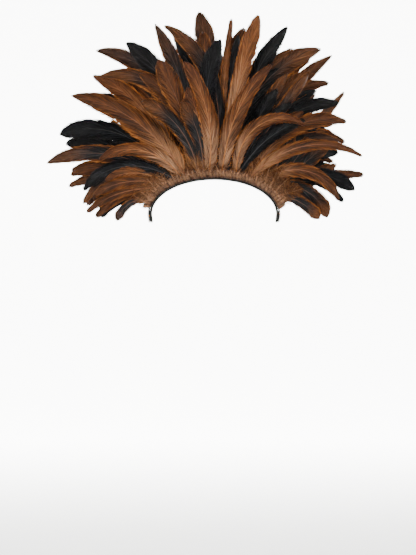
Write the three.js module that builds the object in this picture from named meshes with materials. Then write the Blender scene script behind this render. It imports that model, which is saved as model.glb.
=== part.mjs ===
// A feathered headdress, worn across the top of the head from above one ear to above the other.
// A stiff black headband carries a strip of seed beads along its front edge and a ribbed roll of
// bound feather down along its rear edge. Long curved tail feathers, some tan, some brown, some
// with a dark heart and some black, stand out of the roll and of the band in a wide fan.
// Millimetres. +Z is up, +Y is the way the wearer faces and +X is to the wearer's right.
// The origin is where the middle of the band sits on the crown of the head.
import * as THREE from "three";

// Headband: its inner face follows half an ellipse, with a short straight leg at each end.
const headHalfWidth = 82.5;
const headRise = 46;
const legLength = 10;
const legLean = 0.14; // how far a leg leans in towards the head, for each millimetre down
const bandWidth = 34;
const bandWall = 2.6;
const bandFlare = 0.08; // the band widens by this much for each millimetre towards the front
const bandSteps = 40;
// The leg narrows to a rounded end.
const legSections = [
  { down: 0.45, width: 0.96 },
  { down: 0.75, width: 0.8 },
  { down: 0.93, width: 0.56 },
  { down: 1.0, width: 0.34 },
];

// Bead trim: a strip of seed beads along the front edge, which covers the whole width of the legs.
const beadHeight = 1.9;
const beadStripWidth = 7;
const beadEdge = 0.8; // bare band left beside the beads
const beadSpreadFrom = 82; // degrees round the arch, where the strip starts to widen
const beadSpreadTo = 89;

// Roll: feather down bound round a cord, with a rib for each turn of the binding.
const rollRadius = 5.6;
const ribDepth = 0.5;
const ribPitch = 3.3;
const rollSides = 10;
const rollEnd = 80; // degrees round the arch
const boundWidth = 0.72; // the share of the roll's width that quills stand in

const clearance = 0.3; // between pieces that touch

// Feathers: the fan that their tips reach, the widest vane, and the quill where it is bound in.
const fanHalfWidth = 210;
const fanHeight = 224;
const vaneWidth = 26;
const quillWidth = 1.8;
const shaftDepth = 1.3;
const tipDepth = 0.6;
const bendOnset = 1.25; // above 1, a feather turns more towards its tip than at its root
const rearLean = -18; // degrees, of the feathers nearest the wearer's back
const frontLean = 17; // degrees, of those nearest the face
const tipCurl = 0.5; // above 0, the feathers lean over more and more towards their tips
const viewDistance = 1900; // how far behind the fan the places of the tips are seen from
const viewHeight = -129;
const outlineMargin = 0.5; // kept clear of each other by feathers that lie in one tier
const vaneCamber = 0.5; // shares of the room between two tiers
const vaneTwist = 0.25;
const vaneSway = 0.2;
// The width of a vane from its root to its tip, for a feather with either kind of tip.
const vaneSections = [
  { along: 0.05, pointed: 0.46, round: 0.46 },
  { along: 0.13, pointed: 0.68, round: 0.66 },
  { along: 0.26, pointed: 0.84, round: 0.78 },
  { along: 0.42, pointed: 0.96, round: 0.9 },
  { along: 0.58, pointed: 1.0, round: 0.98 },
  { along: 0.72, pointed: 0.93, round: 1.0 },
  { along: 0.84, pointed: 0.73, round: 0.92 },
  { along: 0.93, pointed: 0.46, round: 0.68 },
  { along: 0.975, pointed: 0.26, round: 0.44 },
  { along: 1.0, pointed: 0.07, round: 0.14 },
];

// The feathers, from the nearest the wearer's back to the nearest the face. seat is the place
// round the arch in degrees, across and up say where the tip stands as shares of the fan, bend is
// how far the feather turns in degrees, breadth is its share of the widest vane, and tier is the
// first tier in depth that it may lie in.
const feathers = [
  { seat: -4, across: -0.19, up: 0.7, bend: -44, breadth: 1.1, dye: "tan", tip: "round", tier: 0 },
  { seat: 7, across: 0.36, up: 0.68, bend: 42, breadth: 1, dye: "tan", tip: "pointed", tier: 0 },
  { seat: -30, across: -0.72, up: 0.12, bend: -88, breadth: 0.82, dye: "tan", tip: "pointed", tier: 0 },
  { seat: 19, across: 0.57, up: 0.32, bend: 125, breadth: 0.8, dye: "tan", tip: "pointed", tier: 0 },
  { seat: 33, across: 0.93, up: 0.14, bend: 78, breadth: 0.75, dye: "brown", tip: "pointed", tier: 0 },
  { seat: 67, across: 0.66, up: -0.23, bend: 42, breadth: 0.62, dye: "dark", tip: "round", tier: 0 },
  { seat: -72, across: -0.61, up: -0.24, bend: -72, breadth: 0.44, dye: "dark", tip: "round", tier: 0 },
  { seat: -26, across: -0.9, up: 0.5, bend: -50, breadth: 1.08, dye: "brown", tip: "pointed", tier: 1 },
  { seat: -14, across: -0.46, up: 0.46, bend: -64, breadth: 0.82, dye: "dark", tip: "round", tier: 0 },
  { seat: -11, across: -0.35, up: 0.71, bend: -12, breadth: 0.92, dye: "brown", tip: "round", tier: 1 },
  { seat: 9, across: 0.28, up: 0.97, bend: 14, breadth: 0.82, dye: "tan", tip: "round", tier: 1 },
  { seat: 4, across: 0.04, up: 0.83, bend: 48, breadth: 0.92, dye: "black", tip: "round", tier: 1 },
  { seat: 22, across: 0.57, up: 0.35, bend: 45, breadth: 0.64, dye: "black", tip: "pointed", tier: 1 },
  { seat: 44, across: 0.78, up: -0.12, bend: 105, breadth: 0.82, dye: "brown", tip: "pointed", tier: 1 },
  { seat: -38, across: -0.82, up: -0.06, bend: -85, breadth: 0.71, dye: "black", tip: "pointed", tier: 1 },
  { seat: -57, across: -0.8, up: -0.19, bend: -42, breadth: 0.57, dye: "brown", tip: "pointed", tier: 0 },
  { seat: -62, across: -0.74, up: -0.22, bend: -55, breadth: 0.57, dye: "brown", tip: "pointed", tier: 1 },
  { seat: -67, across: -0.71, up: -0.22, bend: -45, breadth: 0.32, dye: "black", tip: "pointed", tier: 2 },
  { seat: -44, across: -0.82, up: -0.14, bend: -88, breadth: 0.57, dye: "dark", tip: "pointed", tier: 2 },
  { seat: -48, across: -0.8, up: -0.15, bend: -60, breadth: 0.53, dye: "brown", tip: "pointed", tier: 3 },
  { seat: -20, across: -0.72, up: 0.61, bend: -112, breadth: 1.02, dye: "dark", tip: "pointed", tier: 2 },
  { seat: -17, across: -0.55, up: 0.81, bend: -50, breadth: 0.92, dye: "black", tip: "round", tier: 3 },
  { seat: -9, across: -0.37, up: 0.92, bend: -20, breadth: 0.71, dye: "dark", tip: "pointed", tier: 3 },
  { seat: -3, across: -0.31, up: 0.91, bend: -80, breadth: 0.74, dye: "dark", tip: "pointed", tier: 2 },
  { seat: 3, across: 0.11, up: 0.95, bend: 4, breadth: 0.48, dye: "tan", tip: "pointed", tier: 2 },
  { seat: 12, across: 0.46, up: 0.9, bend: 34, breadth: 0.76, dye: "black", tip: "pointed", tier: 2 },
  { seat: 25, across: 0.59, up: 0.62, bend: 12, breadth: 0.57, dye: "dark", tip: "round", tier: 2 },
  { seat: 18, across: 0.67, up: 0.77, bend: 78, breadth: 0.92, dye: "dark", tip: "pointed", tier: 3 },
  { seat: 10, across: 0.19, up: 0.89, bend: 38, breadth: 0.71, dye: "dark", tip: "round", tier: 3 },
  { seat: -2, across: -0.07, up: 0.87, bend: -5, breadth: 0.71, dye: "brown", tip: "round", tier: 3 },
  { seat: -42, across: -1.05, up: 0.1, bend: -60, breadth: 0.82, dye: "dark", tip: "pointed", tier: 2 },
  { seat: -50, across: -0.9, up: 0.03, bend: -55, breadth: 0.8, dye: "brown", tip: "pointed", tier: 3 },
  { seat: -36, across: -0.97, up: 0.27, bend: -75, breadth: 0.86, dye: "black", tip: "round", tier: 3 },
  { seat: 21, across: 0.6, up: 0.64, bend: 44, breadth: 0.8, dye: "dark", tip: "round", tier: 3 },
  { seat: 35, across: 0.83, up: 0.34, bend: 88, breadth: 0.84, dye: "brown", tip: "pointed", tier: 3 },
  { seat: 53, across: 0.71, up: -0.22, bend: 80, breadth: 0.78, dye: "dark", tip: "round", tier: 2 },
  { seat: 49, across: 0.88, up: -0.06, bend: 64, breadth: 0.71, dye: "black", tip: "round", tier: 3 },
  { seat: 30, across: 0.78, up: 0.45, bend: 82, breadth: 0.78, dye: "black", tip: "round", tier: 4 },
  { seat: 37, across: 0.79, up: 0.22, bend: 88, breadth: 0.76, dye: "dark", tip: "pointed", tier: 4 },
  { seat: 43, across: 0.78, up: 0.16, bend: 50, breadth: 0.67, dye: "black", tip: "round", tier: 4 },
  { seat: 60, across: 0.57, up: -0.06, bend: 30, breadth: 0.53, dye: "black", tip: "pointed", tier: 4 },
  { seat: -53, across: -0.91, up: -0.04, bend: -58, breadth: 0.62, dye: "dark", tip: "pointed", tier: 4 },
  { seat: -46, across: -0.93, up: 0.21, bend: -60, breadth: 0.66, dye: "black", tip: "round", tier: 4 },
  { seat: -34, across: -0.76, up: 0.61, bend: -58, breadth: 0.82, dye: "tan", tip: "pointed", tier: 4 },
  { seat: -31, across: -0.83, up: 0.49, bend: -82, breadth: 0.82, dye: "black", tip: "round", tier: 5 },
  { seat: -27, across: -0.74, up: 0.76, bend: -92, breadth: 0.76, dye: "dark", tip: "pointed", tier: 5 },
  { seat: -6, across: -0.26, up: 0.86, bend: -30, breadth: 0.62, dye: "black", tip: "pointed", tier: 5 },
  { seat: 0, across: -0.09, up: 0.99, bend: -12, breadth: 1.1, dye: "dark", tip: "round", tier: 5 },
  { seat: 21, across: 0.6, up: 0.71, bend: 44, breadth: 0.51, dye: "tan", tip: "pointed", tier: 5 },
  { seat: 24, across: 0.74, up: 0.73, bend: 38, breadth: 0.62, dye: "brown", tip: "pointed", tier: 5 },
  { seat: 28, across: 0.72, up: 0.57, bend: 84, breadth: 0.76, dye: "dark", tip: "pointed", tier: 5 },
  { seat: 31, across: 0.82, up: 0.52, bend: -14, breadth: 0.41, dye: "dark", tip: "pointed", tier: 6 },
  { seat: 40, across: 0.82, up: 0.22, bend: 104, breadth: 0.7, dye: "tan", tip: "pointed", tier: 5 },
  { seat: 46, across: 0.94, up: 0.03, bend: 18, breadth: 0.5, dye: "brown", tip: "round", tier: 5 },
  { seat: 50, across: 0.81, up: -0.13, bend: 88, breadth: 0.39, dye: "black", tip: "round", tier: 5 },
  { seat: -21, across: -0.6, up: 0.6, bend: -50, breadth: 0.9, dye: "dark", tip: "round", tier: 5 },
  { seat: 15, across: 0.42, up: 0.7, bend: 24, breadth: 0.85, dye: "brown", tip: "round", tier: 5 },
];

const looks = {
  band: { color: 0x15130f, roughness: 0.85, metalness: 0 },
  beads: { color: 0x1a1d21, roughness: 0.25, metalness: 0 },
  down: { color: 0x8a6242, roughness: 0.95, metalness: 0 },
  tan: { color: 0x8b5a38, roughness: 0.7, metalness: 0 },
  brown: { color: 0x6a3716, roughness: 0.65, metalness: 0 },
  dark: { color: 0x40281b, roughness: 0.6, metalness: 0 },
  black: { color: 0x111214, roughness: 0.45, metalness: 0 },
};

const radians = THREE.MathUtils.degToRad;
const lerp = THREE.MathUtils.lerp;

// A closed body through rings of points, with flat ends and its faces pointing out. Both faces of a
// blade are split along the same diagonals, so that they don't cross where it is thin.
function loft(rings, blade = false) {
  const count = rings[0].length;
  const positions = rings.flat().flatMap((point) => [point.x, point.y, point.z]);
  const faces = [];
  for (let ring = 0; ring + 1 < rings.length; ring++) {
    for (let side = 0; side < count; side++) {
      const a = ring * count + side;
      const b = ring * count + ((side + 1) % count);
      const flip = blade && side % 2 === 0;
      faces.push(a, b, flip ? a + count : b + count, flip ? b : a, b + count, a + count);
    }
  }
  const last = (rings.length - 1) * count;
  for (let side = 1; side + 1 < count; side++) {
    faces.push(0, side + 1, side, last, last + side, last + side + 1);
  }
  const corner = (i) => new THREE.Vector3().fromArray(positions, 3 * faces[i]);
  let volume = 0;
  for (let i = 0; i < faces.length; i += 3) {
    volume += corner(i).dot(corner(i + 1).cross(corner(i + 2)));
  }
  if (volume < 0) faces.reverse();
  const geometry = new THREE.BufferGeometry();
  geometry.setAttribute("position", new THREE.Float32BufferAttribute(positions, 3));
  geometry.setIndex(faces);
  geometry.computeVertexNormals();
  return geometry;
}

// A point of the arch: turn is in degrees from the crown, down is how far along a leg, out is how
// far off the inner face, and depth is its place from the rear edge (minus) to the front (plus).
function archPoint(turn, out, depth, down = 0) {
  const wide = headHalfWidth + bandFlare * depth;
  const high = headRise + bandFlare * depth;
  const sine = Math.sin(radians(turn));
  const cosine = Math.cos(radians(turn));
  const slope = Math.hypot(high * sine, wide * cosine);
  const x = wide * sine + (out * high * sine) / slope;
  const z = high * cosine - headRise + (out * wide * cosine) / slope;
  return new THREE.Vector3(x - Math.sign(turn) * legLean * down, depth, z - down);
}

// The stations of the arch from the end of one leg to the end of the other.
function archStations() {
  const leg = legSections.map(({ down, width }) => ({ turn: 90, down: down * legLength, width }));
  const stations = leg.toReversed().map((station) => ({ ...station, turn: -90 }));
  for (let step = 0; step <= bandSteps; step++) {
    stations.push({ turn: lerp(-90, 90, step / bandSteps), down: 0, width: 1 });
  }
  return stations.concat(leg);
}

function headbandShape() {
  const half = bandWidth / 2;
  const rings = archStations().map(({ turn, down, width }) => [
    archPoint(turn, 0, -half * width, down),
    archPoint(turn, bandWall, -half * width, down),
    archPoint(turn, bandWall, half * width, down),
    archPoint(turn, 0, half * width, down),
  ]);
  return loft(rings);
}

function beadTrimShape() {
  const half = bandWidth / 2 - beadEdge;
  const low = bandWall + clearance;
  const rings = archStations()
    .filter(({ down }) => down < legLength)
    .map(({ turn, down, width }) => {
      const widening = THREE.MathUtils.smoothstep(Math.abs(turn), beadSpreadFrom, beadSpreadTo);
      const rear = lerp(half - beadStripWidth, -half, widening) * width;
      const front = half * width;
      return [
        archPoint(turn, low, rear, down),
        archPoint(turn, low + beadHeight, rear, down),
        archPoint(turn, low + beadHeight, front, down),
        archPoint(turn, low, front, down),
      ];
    });
  return loft(rings);
}

// The roll's centreline lies on the outer face of the band, beside its rear edge.
const rollDepth = rollRadius - bandWidth / 2 - clearance;
const rollOut = bandWall + clearance + rollRadius * Math.hypot(1, bandFlare);

function rollShape() {
  const centre = new THREE.CatmullRomCurve3();
  for (let step = 0; step <= bandSteps; step++) {
    const turn = lerp(-rollEnd, rollEnd, step / bandSteps);
    centre.points.push(archPoint(turn, rollOut, rollDepth));
  }
  const steps = 2 * Math.round(centre.getLength() / ribPitch);
  const backward = new THREE.Vector3(0, -1, 0);
  const rings = centre.getSpacedPoints(steps).map((middle, step) => {
    const along = centre.getTangentAt(step / steps);
    const outward = new THREE.Vector3().crossVectors(along, backward).normalize();
    const rear = new THREE.Vector3().crossVectors(outward, along).normalize();
    const atEnd = step === 0 || step === steps;
    const radius = step % 2 && !atEnd ? rollRadius : rollRadius - ribDepth;
    return Array.from({ length: rollSides }, (_, side) => {
      const angle = (2 * Math.PI * (side + 0.5)) / rollSides;
      return middle
        .clone()
        .addScaledVector(outward, radius * Math.cos(angle))
        .addScaledVector(rear, radius * Math.sin(angle));
    });
  });
  return loft(rings);
}

// How far the roll's many-sided section stands out at a place beside its centreline.
function rollHeight(beside) {
  const corner = Math.PI / rollSides;
  const side = Math.round(Math.asin(beside / rollRadius) / (2 * corner));
  const middle = 2 * corner * side;
  return (rollRadius * Math.cos(corner) - beside * Math.sin(middle)) / Math.cos(middle);
}

// How far a point of the fan lies beyond the inner face of the band, seen from the back.
function beyondArch(x, z) {
  const acrossAxis = Math.abs(x);
  const upAxis = Math.abs(z + headRise);
  const gap = headHalfWidth ** 2 - headRise ** 2;
  let cosine = Math.SQRT1_2;
  let sine = Math.SQRT1_2;
  for (let pass = 0; pass < 4; pass++) {
    const evoluteX = (gap * cosine ** 3) / headHalfWidth;
    const evoluteZ = (-gap * sine ** 3) / headRise;
    const radius = Math.hypot(headHalfWidth * cosine - evoluteX, headRise * sine - evoluteZ);
    const reach = Math.hypot(acrossAxis - evoluteX, upAxis - evoluteZ);
    cosine = Math.max(0, ((acrossAxis - evoluteX) * radius) / reach + evoluteX) / headHalfWidth;
    sine = Math.max(0, ((upAxis - evoluteZ) * radius) / reach + evoluteZ) / headRise;
    const size = Math.hypot(cosine, sine);
    cosine /= size;
    sine /= size;
  }
  return Math.hypot(acrossAxis - headHalfWidth * cosine, upAxis - headRise * sine);
}

// The tiers that the feathers lie in, one behind the other in depth. The rear half of them is
// bound into the roll, and the front half stands on the band between the roll and the beads.
function tierPlan(count) {
  const onRoll = Math.ceil(count / 2);
  const halfQuill = shaftDepth / 2 + clearance;
  const leanOverBeads = beadHeight * Math.tan(radians(frontLean));
  const rollZone = [rollDepth - boundWidth * rollRadius, rollDepth + boundWidth * rollRadius];
  const bandZone = [
    rollDepth + rollRadius + halfQuill,
    bandWidth / 2 - beadEdge - beadStripWidth - halfQuill - leanOverBeads,
  ];
  const share = (index, size) => (size > 1 ? index / (size - 1) : 0.5);
  return Array.from({ length: count }, (_, index) => {
    const bound = index < onRoll;
    const depth = bound
      ? lerp(...rollZone, share(index, onRoll))
      : lerp(...bandZone, share(index - onRoll, count - onRoll));
    const out = (bound ? rollOut + rollHeight(depth - rollDepth) : bandWall) + clearance;
    const lean = radians(lerp(rearLean, frontLean, share(index, count)));
    return { depth, out, slope: Math.tan(lean) };
  });
}

// How far forward a tier lies at a distance from its seats, as it leans and curls over.
function tierDepth({ depth, slope }, distance) {
  return depth + slope * distance * (1 + tipCurl * (distance / fanHeight - 0.5));
}

// The line of the shaft as the wearer's back shows it: points and the directions across it. A quill
// that leaves its seat at a slant stands off by the corner that it would otherwise sink in.
function shaftLine(feather, tier) {
  const root = archPoint(feather.seat, tier.out, tier.depth);
  const outward = archPoint(feather.seat, tier.out + 1, tier.depth).sub(root);
  const { sideX, sideZ } = shaftFrom(root, feather, tier)(0);
  const slant = Math.abs(outward.x * sideX + outward.z * sideZ);
  return shaftFrom(root.addScaledVector(outward, (slant * quillWidth) / 2), feather, tier);
}

function shaftFrom(root, { across, up, bend }, tier) {
  const steps = vaneSections.length * 4;
  const heading = (share) => radians(bend) * share ** bendOnset;
  const path = [new THREE.Vector2(0, 0)];
  for (let step = 0; step < steps; step++) {
    const angle = heading((step + 0.5) / steps);
    path.push(path[step].clone().add(new THREE.Vector2(Math.sin(angle), Math.cos(angle))));
  }
  const end = path[steps];
  const tip = new THREE.Vector2(across * fanHalfWidth, up * fanHeight);
  const farther = tierDepth(tier, beyondArch(tip.x, tip.y) - beyondArch(root.x, root.z));
  tip.addScaledVector(new THREE.Vector2(tip.x, tip.y - viewHeight), farther / viewDistance);
  const chord = tip.sub(new THREE.Vector2(root.x, root.z));
  const scale = chord.length() / end.length();
  const turn = chord.angle() - end.angle();
  return (share) => {
    const place = Math.min(share * steps, steps - 1e-6);
    const step = Math.floor(place);
    const point = path[step].clone().lerp(path[step + 1], place - step);
    const middle = point.rotateAround(new THREE.Vector2(), turn).multiplyScalar(scale);
    const angle = Math.PI / 2 - heading(share) + turn;
    return {
      x: root.x + middle.x,
      z: root.z + middle.y,
      sideX: Math.sin(angle),
      sideZ: -Math.cos(angle),
    };
  };
}

// The outline of a feather, as pairs of points either side of its shaft.
function vaneOutline(feather, tier) {
  const at = shaftLine(feather, tier);
  const quill = { along: 0, half: quillWidth / 2 };
  const vane = vaneSections.map((section) => ({
    along: section.along,
    half: (section[feather.tip] * feather.breadth * vaneWidth) / 2,
  }));
  return [quill, ...vane].map(({ along, half }) => {
    const { x, z, sideX, sideZ } = at(along);
    const edge = (side) => ({ x: x + side * half * sideX, z: z + side * half * sideZ });
    return { along, half, middle: { x, z }, left: edge(-1), right: edge(1) };
  });
}

function border(outline) {
  const grown = (section, side) => {
    const { x, z } = section[side];
    const share = section.half > 0 ? outlineMargin / section.half : 0;
    return [x + (x - section.middle.x) * share, z + (z - section.middle.z) * share];
  };
  const right = outline.map((section) => grown(section, "right"));
  return outline.map((section) => grown(section, "left")).concat(right.reverse());
}

const turnOf = (a, b, c) => (b[0] - a[0]) * (c[1] - a[1]) - (b[1] - a[1]) * (c[0] - a[0]);

function edgesCross(a, b, c, d) {
  return turnOf(a, b, c) * turnOf(a, b, d) < 0 && turnOf(c, d, a) * turnOf(c, d, b) < 0;
}

function bordersCross(one, other) {
  return one.some((a, i) =>
    other.some((c, j) =>
      edgesCross(a, one[(i + 1) % one.length], c, other[(j + 1) % other.length]),
    ),
  );
}

// Lays the feathers in order. Each goes in the first tier that is behind all those that it
// crosses, so that a nearer one covers it.
function layInTiers() {
  const plain = { ...tierPlan(2)[1], slope: 0 };
  const laid = [];
  for (const feather of feathers) {
    const shape = border(vaneOutline(feather, plain));
    const crossed = laid.filter((other) => bordersCross(shape, other.shape));
    const tier = Math.max(feather.tier, ...crossed.map((other) => other.tier + 1));
    laid.push({ ...feather, shape, tier });
  }
  return laid;
}

// A feather lies on the sloping sheet of its tier, a thin blade with a ridge down its shaft. Its
// vane is bowed and a little twisted, within the room that its tier has.
function featherShape(feather, tiers, index) {
  const tier = tiers[feather.tier];
  const outline = vaneOutline(feather, tier);
  const seatBeyond = beyondArch(outline[0].middle.x, outline[0].middle.z);
  const sheet = (anyTier, beyond) => tierDepth(anyTier, beyond - seatBeyond);
  const bow = feather.tier < tiers.length / 2 ? 1 : -1;
  const sway = Math.sin(index * 2.4) * vaneSway;
  const rings = outline.map(({ along, middle, left, right }) => {
    const thick = lerp(shaftDepth, tipDepth, along);
    const place = (point, offset, lift) => {
      const beyond = beyondArch(point.x, point.z);
      const here = sheet(tier, beyond);
      const gaps = [tiers[feather.tier - 1], tiers[feather.tier + 1]]
        .filter(Boolean)
        .map((next) => Math.abs(sheet(next, beyond) - here));
      const room = Math.max(0, Math.min(...gaps, vaneWidth) / 2 - thick / 2 - clearance / 2);
      return new THREE.Vector3(point.x, here + (offset + sway * along) * room + lift, point.z);
    };
    return [
      place(middle, 0, -thick / 2),
      place(right, bow * vaneCamber + vaneTwist, 0),
      place(middle, 0, thick / 2),
      place(left, bow * vaneCamber - vaneTwist, 0),
    ];
  });
  return loft(rings, true);
}

const headdress = new THREE.Group();
headdress.name = "feathered_headdress";

function addPiece(name, geometry, look) {
  const mesh = new THREE.Mesh(geometry, new THREE.MeshStandardMaterial(looks[look]));
  mesh.name = name;
  headdress.add(mesh);
}

addPiece("headband", headbandShape(), "band");
addPiece("bead_trim", beadTrimShape(), "beads");
addPiece("down_roll", rollShape(), "down");

const laid = layInTiers();
const tiers = tierPlan(1 + Math.max(...laid.map((feather) => feather.tier)));
laid.forEach((feather, index) => {
  const number = String(index + 1).padStart(2, "0");
  addPiece(`feather_${number}_${feather.dye}`, featherShape(feather, tiers, index), feather.dye);
});

export default headdress;
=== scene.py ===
# Dresses the feathered headdress: barbed feathers, bound down, seed beads and the studio round it.
import math
import bpy
import numpy as np
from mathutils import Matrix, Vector


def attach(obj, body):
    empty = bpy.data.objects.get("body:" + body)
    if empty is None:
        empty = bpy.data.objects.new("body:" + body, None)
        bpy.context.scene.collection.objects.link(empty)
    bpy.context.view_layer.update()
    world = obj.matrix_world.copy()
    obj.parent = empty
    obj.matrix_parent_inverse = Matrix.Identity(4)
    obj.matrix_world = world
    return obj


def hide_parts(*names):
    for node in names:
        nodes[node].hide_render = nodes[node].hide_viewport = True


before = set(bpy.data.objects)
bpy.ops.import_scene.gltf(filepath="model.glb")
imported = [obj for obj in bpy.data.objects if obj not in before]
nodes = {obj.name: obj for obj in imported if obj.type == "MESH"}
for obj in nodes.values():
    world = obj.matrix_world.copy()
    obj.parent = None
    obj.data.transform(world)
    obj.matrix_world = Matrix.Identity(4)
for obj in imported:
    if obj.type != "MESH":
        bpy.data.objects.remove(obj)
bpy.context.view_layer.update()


# Helpers for node trees

# Colours are written without their alpha
def setInputs(node, values):
    for key, value in values.items():
        socket = node.inputs[key]
        if isinstance(value, bpy.types.NodeSocket):
            node.id_data.links.new(value, socket)
        else:
            socket.default_value = (*value, 1.0) if socket.type == "RGBA" else value


def addNode(tree, kind, values=None, **settings):
    node = tree.nodes.new(kind)
    for key, value in settings.items():
        setattr(node, key, value)
    setInputs(node, values or {})
    return node


def maths(tree, operation, *values):
    return addNode(tree, "ShaderNodeMath", dict(enumerate(values)), operation=operation).outputs[0]


def times(tree, *values):
    return maths(tree, "MULTIPLY", *values)


def timesPlus(tree, *values):
    return maths(tree, "MULTIPLY_ADD", *values)


# Moves a value up and down with a wave that lies round 0.5
def swayed(tree, value, wave, amount):
    return timesPlus(tree, maths(tree, "SUBTRACT", wave, 0.5), amount, value)


def vector(tree, *values):
    return addNode(tree, "ShaderNodeCombineXYZ", dict(enumerate(values))).outputs[0]


def noise(tree, place, scale, detail, roughness=0.5):
    values = {"Vector": place, "Scale": scale, "Detail": detail, "Roughness": roughness}
    return addNode(tree, "ShaderNodeTexNoise", values).outputs[0]


def remap(tree, value, fromLow, fromHigh, toLow=0.0, toHigh=1.0, smooth=True):
    kind = "SMOOTHSTEP" if smooth else "LINEAR"
    values = {0: value, 1: fromLow, 2: fromHigh, 3: toLow, 4: toHigh}
    return addNode(tree, "ShaderNodeMapRange", values, interpolation_type=kind).outputs[0]


def blendColours(tree, factor, first, second, mode="MIX"):
    values = {0: factor, 6: first, 7: second}
    node = addNode(tree, "ShaderNodeMix", values, data_type="RGBA", blend_type=mode)
    return node.outputs[2]


def randomValue(tree, low, high, number, seed, shift=0.0):
    seed = maths(tree, "ADD", seed, shift) if shift else seed
    values = {2: low, 3: high, 7: number, 8: seed}
    return addNode(tree, "FunctionNodeRandomValue", values, data_type="FLOAT").outputs[1]


def geometry(tree, kind, values=None, **settings):
    return addNode(tree, "GeometryNode" + kind, values, **settings).outputs[0]


def storeTone(tree, body, tone, domain="INSTANCE"):
    values = {"Geometry": body, "Name": "barbTone", "Value": tone}
    return geometry(tree, "StoreNamedAttribute", values, data_type="FLOAT", domain=domain)


def newGeometryTree(name, inputs):
    tree = bpy.data.node_groups.new(name, "GeometryNodeTree")
    tree.interface.new_socket("Geometry", in_out="INPUT", socket_type="NodeSocketGeometry")
    tree.interface.new_socket("Geometry", in_out="OUTPUT", socket_type="NodeSocketGeometry")
    kinds = {int: "NodeSocketInt", float: "NodeSocketFloat"}
    for label, value in inputs.items():
        kind = kinds.get(type(value), "NodeSocketMaterial")
        socket = tree.interface.new_socket(label, in_out="INPUT", socket_type=kind)
        socket.default_value = value
    return tree, tree.nodes.new("NodeGroupInput").outputs


def endTree(tree, body, material):
    realized = geometry(tree, "RealizeInstances", {0: body})
    painted = geometry(tree, "SetMaterial", {"Geometry": realized, "Material": material})
    addNode(tree, "NodeGroupOutput", {0: painted})


def addObject(name, data):
    added = bpy.data.objects.new(name, data)
    bpy.context.scene.collection.objects.link(added)
    return added


# Runs a tree on a mesh and gives the result back as a plain mesh. The tree's input Wrap Radius takes
# the value called wrapRadius, and values that it has no input for are left alone.
def growMesh(tree, source, values):
    grower = addObject("grower", source)
    modifier = grower.modifiers.new("Grow", "NODES")
    modifier.node_group = tree
    for item in tree.interface.items_tree:
        key = item.name[0].lower() + item.name[1:].replace(" ", "")
        if item.in_out == "INPUT" and key in values:
            modifier[item.identifier] = values[key]
    depsgraph = bpy.context.evaluated_depsgraph_get()
    grown = bpy.data.meshes.new_from_object(
        grower.evaluated_get(depsgraph), preserve_all_data_layers=True, depsgraph=depsgraph)
    grower.modifiers.remove(modifier)
    bpy.data.objects.remove(grower)
    return grown


def addPiece(name, mesh, replaced=()):
    piece = addObject(name, mesh)
    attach(piece, "root")
    if replaced:
        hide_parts(*replaced)


# Mesh data as plain arrays, so that parts can be bent and joined

def readMesh(mesh):
    spots = np.empty(3 * len(mesh.vertices), np.float32)
    mesh.vertices.foreach_get("co", spots)
    corners = np.empty(len(mesh.loops), np.int32)
    mesh.loops.foreach_get("vertex_index", corners)
    sizes = np.empty(len(mesh.polygons), np.int32)
    mesh.polygons.foreach_get("loop_total", sizes)
    tone = np.zeros(len(mesh.vertices), np.float32)
    if "barbTone" in mesh.attributes:
        mesh.attributes["barbTone"].data.foreach_get("value", tone)
    return {"spots": spots.reshape(-1, 3).astype(float), "corners": corners, "sizes": sizes,
            "tone": tone}


# A closed tube or blade from rings of points, all with the same number of points
def ringPart(rings):
    rings = np.asarray(rings, float)
    ringCount, sideCount = rings.shape[:2]
    ring, side = np.meshgrid(np.arange(ringCount - 1), np.arange(sideCount), indexing="ij")
    after = (side + 1) % sideCount
    quads = np.stack([ring * sideCount + side, ring * sideCount + after,
                      (ring + 1) * sideCount + after, (ring + 1) * sideCount + side], -1)
    firstCap = np.arange(sideCount)[::-1]
    lastCap = np.arange(sideCount) + (ringCount - 1) * sideCount
    corners = np.concatenate([quads.reshape(-1), firstCap, lastCap]).astype(np.int32)
    sizes = np.array([4] * (len(quads.reshape(-1)) // 4) + [sideCount] * 2, np.int32)
    return {"spots": rings.reshape(-1, 3), "corners": corners, "sizes": sizes,
            "tone": np.full(ringCount * sideCount, 0.5)}


def countTriangles(mesh):
    return len(mesh.loops) - 2 * len(mesh.polygons)


def joinParts(name, parts, materials):
    spots = np.concatenate([part["spots"] for part in parts])
    starts = np.cumsum([0] + [len(part["spots"]) for part in parts[:-1]])
    corners = np.concatenate([part["corners"] + start for part, start in zip(parts, starts)])
    sizes = np.concatenate([part["sizes"] for part in parts])
    slots = np.concatenate([np.full(len(part["sizes"]), part.get("slot", 0)) for part in parts])
    mesh = bpy.data.meshes.new(name)
    mesh.vertices.add(len(spots))
    mesh.vertices.foreach_set("co", spots.astype(np.float32).ravel())
    mesh.loops.add(len(corners))
    mesh.loops.foreach_set("vertex_index", corners.astype(np.int32))
    mesh.polygons.add(len(sizes))
    mesh.polygons.foreach_set("loop_start", (np.cumsum(sizes) - sizes).astype(np.int32))
    mesh.polygons.foreach_set("material_index", slots.astype(np.int32))
    mesh.update(calc_edges=True)
    mesh.polygons.foreach_set("use_smooth", np.ones(len(sizes), bool))
    for label in ("barbTone", "featherTone"):
        values = np.concatenate([np.broadcast_to(part.get(label, part["tone"]), len(part["spots"]))
                                 for part in parts])
        mesh.attributes.new(label, "FLOAT", "POINT").data.foreach_set("value", values.astype(np.float32))
    if "uv" in parts[0]:
        uv = np.concatenate([part["uv"] for part in parts])[corners]
        mesh.uv_layers.new(name="vane").uv.foreach_set("vector", uv.astype(np.float32).ravel())
    for material in materials:
        mesh.materials.append(material)
    return mesh


# Materials

def objectPlace(tree):
    return addNode(tree, "ShaderNodeTexCoord").outputs["Object"]


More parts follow.
